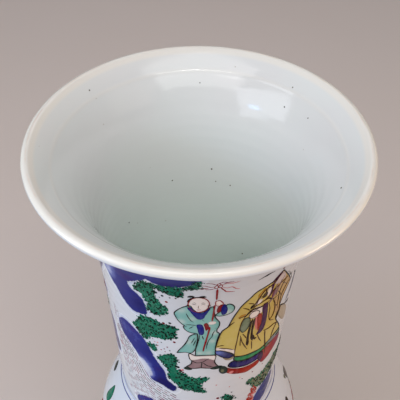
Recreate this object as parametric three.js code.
// A porcelain gu (beaker) vase: a trumpet neck with a rounded lip, a swelling middle bulb and a
// spreading foot, thrown as three sections and luted together with rings of porcelain slip.
// Millimetres, +Z up, origin at the middle of the foot ring on the surface that the vase stands on.

import * as THREE from 'three';

// Neck: a slender cone with a trumpet flare on it that dies away below the lip
const mouthRadius = 105;
const lipRoundRadius = 3.15;
const neckHeight = 214;
const neckWallThickness = 5;
const neckRadiusWithoutFlare = 67.3;
const neckTaper = 0.064;
const flareLength = 23.3;

// Bulb: two parabolic halves that meet at its widest level
const bulbRadius = 76.7;
const bulbUpperHeight = 64;
const bulbLowerHeight = 54;
const bulbWallThickness = 5;
const waistRadius = 50;

// Foot: spreads from the waist to an upright band with a bevelled, unglazed ring under it
const footHeight = 115;
const footRadius = 73;
const footWallThickness = 6;
const footFlareLength = 34;
const footBandHeight = 6;
const footRingWidth = 8.5;
const footRingBevel = 1.2;

// Base: a disc let into the foot from below, against a shoulder
const baseRecess = 12;
const baseThickness = 6;
const baseShoulder = 2;
const baseClearance = 0.3;

// Slip: the rings that join the sections, and the fillet that holds the base
const slipThickness = 1.5;
const slipBead = 1;
const filletWidth = 4;
const filletHeight = 5;

// Fineness of the turned surfaces
const turnSteps = 64;
const neckSteps = 15;
const lipSteps = 6;
const bulbHalfSteps = 6;
const footSteps = 10;
const filletSteps = 4;

// Levels, measured up from the standing surface
const baseTop = baseRecess + baseThickness;
const bulbBottom = footHeight + slipThickness;
const bulbWidest = bulbBottom + bulbLowerHeight;
const bulbTop = bulbWidest + bulbUpperHeight;
const neckBottom = bulbTop + slipThickness;
const lipCentreLevel = neckBottom + neckHeight - lipRoundRadius;

// Glazed porcelain shows on the sections, and bare fired body on the base and the slip
const glazedPorcelain = new THREE.MeshStandardMaterial({ color: 0xdfe3e6, roughness: 0.16, metalness: 0 });
const bareBody = new THREE.MeshStandardMaterial({ color: 0xcfc3b2, roughness: 0.75, metalness: 0 });

// Turns an outline of [radius, level] points round the axis; it runs clockwise, axis on the left,
// and an outline that stays off the axis is closed on its first point.
function turnedPiece(name, outline, material) {
  const points = outline.map(([radius, level]) => new THREE.Vector2(radius, level));
  if (points[0].x > 0) points.push(points[0].clone());
  const geometry = new THREE.LatheGeometry(points.reverse(), turnSteps);
  geometry.rotateX(Math.PI / 2);
  const mesh = new THREE.Mesh(geometry, material);
  mesh.name = name;
  return mesh;
}

// Evenly spread values from start to end, both included
function spread(start, end, steps) {
  return Array.from({ length: steps + 1 }, (_, step) => start + (end - start) * (step / steps));
}

// How wide a wall of this thickness is when measured level, where its radius changes by slope
function levelWidth(thickness, slope) {
  return thickness * Math.hypot(1, slope);
}

// The middle of the neck's wall, at a depth below the centre of the lip's round
const flareReach = mouthRadius - lipRoundRadius - neckRadiusWithoutFlare;

function neckMiddle(depth) {
  return neckRadiusWithoutFlare - neckTaper * depth + flareReach * Math.exp(-depth / flareLength);
}

function neckSlope(depth) {
  return -neckTaper - (flareReach / flareLength) * Math.exp(-depth / flareLength);
}

function neckThickness(depth) {
  return neckWallThickness + (2 * lipRoundRadius - neckWallThickness) * Math.exp(-depth / flareLength);
}

// One face of the neck: side is 1 for the outside and -1 for the bore. Points stand square off the
// middle of the wall, except the last, which is cut level at the bottom.
function neckFace(side) {
  const lowestDepth = lipCentreLevel - neckBottom;
  const shares = spread(0, 1, neckSteps).map((share) => share ** 1.7);
  return shares.map((share) => {
    const depth = share * lowestDepth;
    const slope = neckSlope(depth);
    const halfWall = (side * neckThickness(depth)) / 2;
    if (share === 1) return [neckMiddle(depth) + levelWidth(halfWall, slope), neckBottom];
    const lean = Math.hypot(1, slope);
    return [neckMiddle(depth) + halfWall / lean, lipCentreLevel - depth + (halfWall * slope) / lean];
  });
}

function trumpetNeck() {
  const boreEdge = Math.atan2(-neckSlope(0), -1);
  const lip = spread(boreEdge, boreEdge - Math.PI, lipSteps).slice(1, -1).map((angle) => [
    mouthRadius - lipRoundRadius + lipRoundRadius * Math.cos(angle),
    lipCentreLevel + lipRoundRadius * Math.sin(angle),
  ]);
  return turnedPiece('trumpet_neck', [...neckFace(-1).reverse(), ...lip, ...neckFace(1)], glazedPorcelain);
}

// The radii of the neck at its bottom, which the bulb and the upper slip ring take over
const neckBottomOutside = neckFace(1).at(-1)[0];
const neckBottomBore = neckFace(-1).at(-1)[0];

// The bulb's outside and its slope, at a height above its widest level
function bulbOutside(height) {
  const [reach, edge] = height > 0 ? [bulbUpperHeight, neckBottomOutside] : [bulbLowerHeight, waistRadius];
  const share = height / reach;
  const fall = bulbRadius - edge;
  return { radius: bulbRadius - fall * share ** 2, slope: (-2 * fall * share) / reach };
}

function middleBulb() {
  const heights = [
    ...spread(-bulbLowerHeight, 0, bulbHalfSteps),
    ...spread(0, bulbUpperHeight, bulbHalfSteps).slice(1),
  ];
  const outside = heights.map((height) => [bulbOutside(height).radius, bulbWidest + height]);
  const bore = heights.map((height) => {
    const { radius, slope } = bulbOutside(height);
    return [radius - levelWidth(bulbWallThickness, slope), bulbWidest + height];
  });
  return turnedPiece('middle_bulb', [...bore, ...outside.reverse()], glazedPorcelain);
}

// The foot's outside, its slope and its bore, at a level above the standing surface
function footOutside(level) {
  const flareRise = footHeight - footBandHeight;
  const remainder = Math.exp(-flareRise / footFlareLength);
  const fade = Math.exp(-(level - footBandHeight) / footFlareLength);
  const spreadWidth = (footRadius - waistRadius) / (1 - remainder);
  return { radius: waistRadius + spreadWidth * (fade - remainder), slope: (-spreadWidth * fade) / footFlareLength };
}

function footBore(level) {
  const { radius, slope } = footOutside(level);
  return radius - levelWidth(footWallThickness, slope);
}

const baseSeatRadius = footBore(baseTop) + baseShoulder;

function spreadingFoot() {
  const boreLevels = spread(baseTop, footHeight, footSteps);
  const outsideLevels = spread(footHeight, footBandHeight, footSteps);
  return turnedPiece('spreading_foot', [
    [footRadius - footRingWidth, 0],
    [baseSeatRadius, baseRecess - filletHeight],
    [baseSeatRadius, baseTop],
    ...boreLevels.map((level) => [footBore(level), level]),
    ...outsideLevels.map((level) => [footOutside(level).radius, level]),
    [footRadius, footRingBevel],
    [footRadius - footRingBevel, 0],
  ], glazedPorcelain);
}

// The disc that closes the foot, and the fillet of slip in the corner under it
const baseRadius = baseSeatRadius - baseClearance;

function baseDisc() {
  return turnedPiece('base_disc', [
    [0, baseRecess],
    [0, baseTop],
    [baseRadius, baseTop],
    [baseRadius, baseRecess],
    [0, baseRecess],
  ], bareBody);
}

function baseFillet() {
  const hollow = spread(0, Math.PI / 2, filletSteps).slice(1, -1).map((angle) => [
    baseRadius - filletWidth * (1 - Math.cos(angle)),
    baseRecess - filletHeight * (1 - Math.sin(angle)),
  ]);
  return turnedPiece('base_luting', [
    [baseRadius - filletWidth, baseRecess],
    [baseRadius, baseRecess],
    [baseRadius, baseRecess - filletHeight],
    ...hollow,
  ], bareBody);
}

// A ring of slip between two sections: flush outside, squeezed out into a low bead in the bore
function slipRing(name, bottom, outside, bore) {
  return turnedPiece(name, [
    [bore, bottom],
    [bore - slipBead, bottom + slipThickness / 2],
    [bore, bottom + slipThickness],
    [outside, bottom + slipThickness],
    [outside, bottom],
  ], bareBody);
}

const vase = new THREE.Group();
vase.add(
  spreadingFoot(),
  baseDisc(),
  baseFillet(),
  slipRing('waist_luting', footHeight, waistRadius, footBore(footHeight)),
  middleBulb(),
  slipRing('neck_luting', bulbTop, neckBottomOutside, neckBottomBore),
  trumpetNeck(),
);

export default vase;
